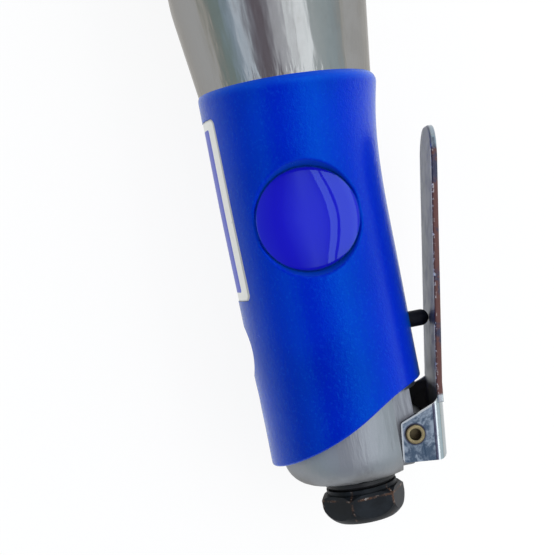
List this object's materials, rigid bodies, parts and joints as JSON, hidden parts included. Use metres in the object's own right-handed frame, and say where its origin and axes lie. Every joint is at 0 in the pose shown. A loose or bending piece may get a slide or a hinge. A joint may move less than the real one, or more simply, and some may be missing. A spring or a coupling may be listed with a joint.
{
  "type": "air ratchet wrench",
  "caption": "Air-driven ratchet wrench: aluminium motor body in a blue grip sleeve, sheet-steel throttle lever, hex air inlet, and a flat ratchet head with a square drive.",
  "frame": {"origin": "centre of the air inlet's mouth, at the rear end of the tool", "axes": "+X along the tool towards the ratchet head, +Z out of the round badge, -Y towards the throttle lever, +Y along the square drive"},
  "size_m": [0.2671, 0.0638, 0.048],
  "materials": {
    "cast_aluminium": "satin casting at the rear end, polished at the barrel",
    "blue_sleeve": "fine-textured moulded sleeve",
    "badge_violet": "clear domed resin over violet-blue",
    "label_panel": "pale border round a plain panel",
    "chromed_sheet": "chromed sheet steel",
    "brass": "plain brass",
    "black_steel": "black oxide, worn at the edges",
    "black_rubber": "matte",
    "steel": "ground steel",
    "spring_steel": "drawn wire",
    "iron": "fine machined iron",
    "vane_composite": "laminated phenolic",
    "acetal": "plain acetal",
    "bronze": "sintered bronze",
    "head_steel": "satin forged steel"
  },
  "bodies": {
    "housing": {"motor_housing": "cast_aluminium", "grip_sleeve": "blue_sleeve", "badge_disc": "badge_violet", "side_label": "label_panel", "inlet_bushing": "black_steel", "inlet_seal": "black_rubber", "inlet_screen": "brass", "lever_pin": "brass", "stem_bushing": "bronze", "stem_o_ring": "black_rubber", "valve_seat": "brass", "valve_plug": "brass", "valve_spring": "spring_steel", "rear_end_plate": "iron", "rear_bearing_outer": "steel", "rear_bearing_balls": "steel", "cylinder_liner": "steel", "locating_pin": "steel", "front_end_plate": "iron", "front_bearing_outer": "steel", "front_bearing_balls": "steel", "ring_gear": "steel", "clamp_nut": "head_steel", "ratchet_housing": "head_steel", "crank_bush": "bronze", "crank_washer": "spring_steel", "anvil_washer": "spring_steel"},
    "lever": {"throttle_lever": "chromed_sheet"},
    "valve": {"valve_stem": "black_steel", "throttle_valve": "acetal"},
    "motor_rotor": {"rotor": "steel", "rotor_vanes": "vane_composite", "rear_bearing_inner": "steel", "front_bearing_inner": "steel"},
    "crank": {"crankshaft": "steel", "planet_pins": "steel", "drive_bushing": "bronze"},
    "planet_1": {"planet_gear_1": "steel"},
    "planet_2": {"planet_gear_2": "steel"},
    "planet_3": {"planet_gear_3": "steel"},
    "yoke": {"ratchet_yoke": "steel"},
    "anvil": {"ratchet_anvil": "head_steel", "pawl_pin": "steel", "anvil_ring": "spring_steel", "detent_spring": "spring_steel"},
    "pawl": {"ratchet_pawl": "steel"},
    "knob": {"reverse_knob": "black_steel", "pawl_plunger": "steel", "plunger_spring": "spring_steel"},
    "detent": {"detent_ball": "steel"}
  },
  "joints": [
    {"name": "throttle_lever", "type": "hinge", "parent": "housing", "child": "lever", "pos_m": [0.0196, -0.0144, 0], "axis": [0, 0, 1], "range_deg": [0, 7], "stiffness_Nm_per_rad": 0.5, "springref_deg": -11.46},
    {"name": "throttle_valve", "type": "slide", "parent": "housing", "child": "valve", "axis": [0, 1, 0], "range_m": [0, 0.0035], "deforming": ["valve_spring"]},
    {"name": "rotor_spin", "type": "hinge", "parent": "housing", "child": "motor_rotor", "pos_m": [0.1361, 0, 0], "axis": [1, 0, 0], "continuous": true},
    {"name": "crank_spin", "type": "hinge", "parent": "housing", "child": "crank", "pos_m": [0.1911, 0, 0], "axis": [1, 0, 0], "continuous": true},
    {"name": "planet_1_spin", "type": "hinge", "parent": "crank", "child": "planet_1", "pos_m": [0.1656, 0, 0.0096], "axis": [1, 0, 0], "continuous": true},
    {"name": "planet_2_spin", "type": "hinge", "parent": "crank", "child": "planet_2", "pos_m": [0.1656, -0.00831, -0.0048], "axis": [1, 0, 0], "continuous": true},
    {"name": "planet_3_spin", "type": "hinge", "parent": "crank", "child": "planet_3", "pos_m": [0.1656, 0.00831, -0.0048], "axis": [1, 0, 0], "continuous": true},
    {"name": "yoke_swing", "type": "hinge", "parent": "housing", "child": "yoke", "pos_m": [0.2471, 0, 0], "axis": [0, 1, 0], "range_deg": [0, 9]},
    {"name": "anvil_spin", "type": "hinge", "parent": "housing", "child": "anvil", "pos_m": [0.2471, 0, 0], "axis": [0, 1, 0], "continuous": true},
    {"name": "pawl_rock", "type": "hinge", "parent": "anvil", "child": "pawl", "pos_m": [0.2557, 0, 0], "axis": [0, 1, 0], "range_deg": [-13, 13]},
    {"name": "reverse_knob", "type": "hinge", "parent": "anvil", "child": "knob", "pos_m": [0.2471, 0, 0], "axis": [0, 1, 0], "range_deg": [-35, 35]},
    {"name": "detent_ball", "type": "slide", "parent": "anvil", "child": "detent", "axis": [-1, 0, 0], "range_m": [0, 0.00085], "stiffness_N_per_m": 2000, "springref_m": -0.0004, "deforming": ["detent_spring"]}
  ],
  "couplings": [
    {"joint": "throttle_valve", "follows": "throttle_lever", "m_per_rad": 0.0277},
    {"joint": "crank_spin", "follows": "rotor_spin", "ratio": 0.25},
    {"joint": "planet_1_spin", "follows": "rotor_spin", "ratio": -0.75},
    {"joint": "planet_2_spin", "follows": "rotor_spin", "ratio": -0.75},
    {"joint": "planet_3_spin", "follows": "rotor_spin", "ratio": -0.75},
    {"joint": "pawl_rock", "follows": "reverse_knob", "ratio": -0.37133}
  ]
}
